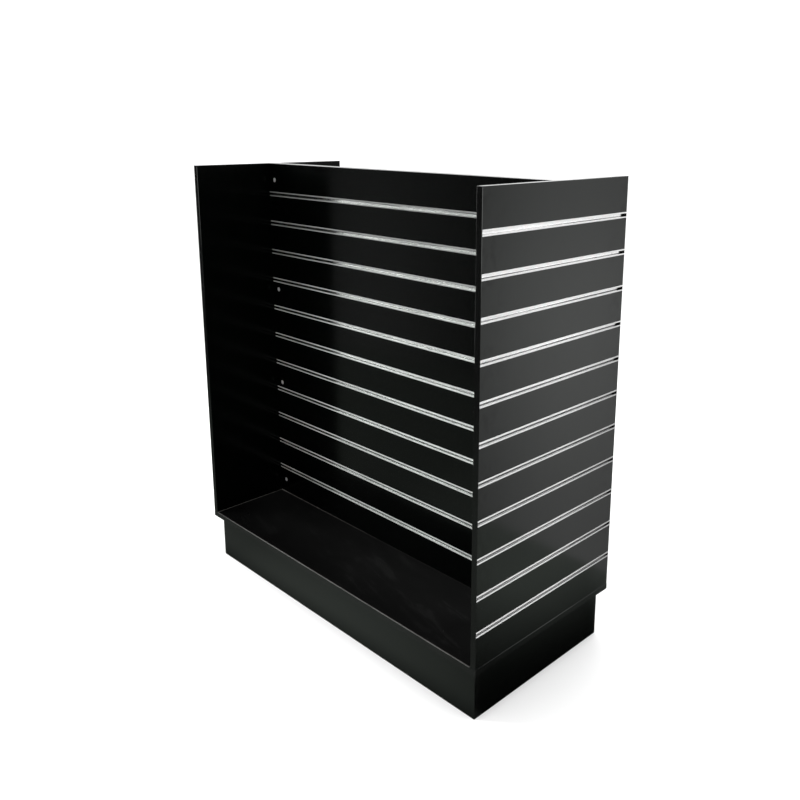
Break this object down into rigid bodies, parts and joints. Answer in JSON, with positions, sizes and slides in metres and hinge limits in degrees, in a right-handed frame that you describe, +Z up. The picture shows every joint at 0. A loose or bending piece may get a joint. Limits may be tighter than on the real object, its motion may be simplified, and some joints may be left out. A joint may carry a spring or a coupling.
{
  "type": "slatwall gondola",
  "caption": "Free-standing double-sided slatwall display, H-shaped in plan, with grooved black end and centre panels lined with aluminium inserts, on a deck over a recessed plinth",
  "frame": {"origin": "on the floor at the middle of the plinth", "axes": "+X along the unit's length to the right-hand end panel, +Y to the back, +Z up"},
  "size_m": [1.268, 0.59, 1.388],
  "materials": {
    "melamine_board": "satin",
    "edge_band": "satin",
    "insert_aluminium": "polished",
    "zinc_casting": "satin",
    "fastener_steel": "satin",
    "beech": "matte"
  },
  "bodies": {
    "gondola": {"kick_front": "melamine_board", "kick_back": "melamine_board", "kick_left": "melamine_board", "kick_right": "melamine_board", "brace_left": "melamine_board", "brace_right": "melamine_board", "deck_board": "melamine_board", "end_panel_left": "melamine_board", "end_panel_right": "melamine_board", "centre_panel_front": "melamine_board", "centre_panel_back": "melamine_board", "kick_end_bands": "edge_band", "deck_long_bands": "edge_band", "deck_short_bands": "edge_band", "end_side_bands_left": "edge_band", "end_side_bands_right": "edge_band", "end_top_band_left": "edge_band", "end_top_band_right": "edge_band", "centre_top_band_front": "edge_band", "centre_top_band_back": "edge_band", "inserts_left": "insert_aluminium", "inserts_right": "insert_aluminium", "inserts_front": "insert_aluminium", "inserts_back": "insert_aluminium", "corner_screws": "fastener_steel", "deck_brackets": "fastener_steel", "bracket_screws": "fastener_steel", "end_panel_bolts": "fastener_steel", "centre_panel_bolts": "fastener_steel", "stitch_screws": "fastener_steel", "cam_bolts_left": "fastener_steel", "cam_bolts_right": "fastener_steel", "brace_dowels": "beech", "corner_blocks": "beech", "deck_dowels": "beech", "centre_dowels": "beech"},
    "cam_front_left_1": {"cam_front_left_1": "zinc_casting"},
    "cam_front_left_2": {"cam_front_left_2": "zinc_casting"},
    "cam_front_left_3": {"cam_front_left_3": "zinc_casting"},
    "cam_front_left_4": {"cam_front_left_4": "zinc_casting"},
    "cam_front_right_1": {"cam_front_right_1": "zinc_casting"},
    "cam_front_right_2": {"cam_front_right_2": "zinc_casting"},
    "cam_front_right_3": {"cam_front_right_3": "zinc_casting"},
    "cam_front_right_4": {"cam_front_right_4": "zinc_casting"},
    "cam_back_left_1": {"cam_back_left_1": "zinc_casting"},
    "cam_back_left_2": {"cam_back_left_2": "zinc_casting"},
    "cam_back_left_3": {"cam_back_left_3": "zinc_casting"},
    "cam_back_left_4": {"cam_back_left_4": "zinc_casting"},
    "cam_back_right_1": {"cam_back_right_1": "zinc_casting"},
    "cam_back_right_2": {"cam_back_right_2": "zinc_casting"},
    "cam_back_right_3": {"cam_back_right_3": "zinc_casting"},
    "cam_back_right_4": {"cam_back_right_4": "zinc_casting"}
  },
  "joints": [
    {"name": "cam_front_left_1_turn", "type": "hinge", "parent": "gondola", "child": "cam_front_left_1", "pos_m": [-0.585, -0.018, 0.2175], "axis": [0, -1, 0], "range_deg": [0, 180]},
    {"name": "cam_front_left_2_turn", "type": "hinge", "parent": "gondola", "child": "cam_front_left_2", "pos_m": [-0.585, -0.018, 0.5986], "axis": [0, -1, 0], "range_deg": [0, 180]},
    {"name": "cam_front_left_3_turn", "type": "hinge", "parent": "gondola", "child": "cam_front_left_3", "pos_m": [-0.585, -0.018, 0.9454], "axis": [0, -1, 0], "range_deg": [0, 180]},
    {"name": "cam_front_left_4_turn", "type": "hinge", "parent": "gondola", "child": "cam_front_left_4", "pos_m": [-0.585, -0.018, 1.3315], "axis": [0, -1, 0], "range_deg": [0, 180]},
    {"name": "cam_front_right_1_turn", "type": "hinge", "parent": "gondola", "child": "cam_front_right_1", "pos_m": [0.585, -0.018, 0.2175], "axis": [0, -1, 0], "range_deg": [0, 180]},
    {"name": "cam_front_right_2_turn", "type": "hinge", "parent": "gondola", "child": "cam_front_right_2", "pos_m": [0.585, -0.018, 0.5986], "axis": [0, -1, 0], "range_deg": [0, 180]},
    {"name": "cam_front_right_3_turn", "type": "hinge", "parent": "gondola", "child": "cam_front_right_3", "pos_m": [0.585, -0.018, 0.9454], "axis": [0, -1, 0], "range_deg": [0, 180]},
    {"name": "cam_front_right_4_turn", "type": "hinge", "parent": "gondola", "child": "cam_front_right_4", "pos_m": [0.585, -0.018, 1.3315], "axis": [0, -1, 0], "range_deg": [0, 180]},
    {"name": "cam_back_left_1_turn", "type": "hinge", "parent": "gondola", "child": "cam_back_left_1", "pos_m": [-0.585, 0.018, 0.2175], "axis": [0, 1, 0], "range_deg": [0, 180]},
    {"name": "cam_back_left_2_turn", "type": "hinge", "parent": "gondola", "child": "cam_back_left_2", "pos_m": [-0.585, 0.018, 0.5986], "axis": [0, 1, 0], "range_deg": [0, 180]},
    {"name": "cam_back_left_3_turn", "type": "hinge", "parent": "gondola", "child": "cam_back_left_3", "pos_m": [-0.585, 0.018, 0.9454], "axis": [0, 1, 0], "range_deg": [0, 180]},
    {"name": "cam_back_left_4_turn", "type": "hinge", "parent": "gondola", "child": "cam_back_left_4", "pos_m": [-0.585, 0.018, 1.3315], "axis": [0, 1, 0], "range_deg": [0, 180]},
    {"name": "cam_back_right_1_turn", "type": "hinge", "parent": "gondola", "child": "cam_back_right_1", "pos_m": [0.585, 0.018, 0.2175], "axis": [0, 1, 0], "range_deg": [0, 180]},
    {"name": "cam_back_right_2_turn", "type": "hinge", "parent": "gondola", "child": "cam_back_right_2", "pos_m": [0.585, 0.018, 0.5986], "axis": [0, 1, 0], "range_deg": [0, 180]},
    {"name": "cam_back_right_3_turn", "type": "hinge", "parent": "gondola", "child": "cam_back_right_3", "pos_m": [0.585, 0.018, 0.9454], "axis": [0, 1, 0], "range_deg": [0, 180]},
    {"name": "cam_back_right_4_turn", "type": "hinge", "parent": "gondola", "child": "cam_back_right_4", "pos_m": [0.585, 0.018, 1.3315], "axis": [0, 1, 0], "range_deg": [0, 180]}
  ]
}
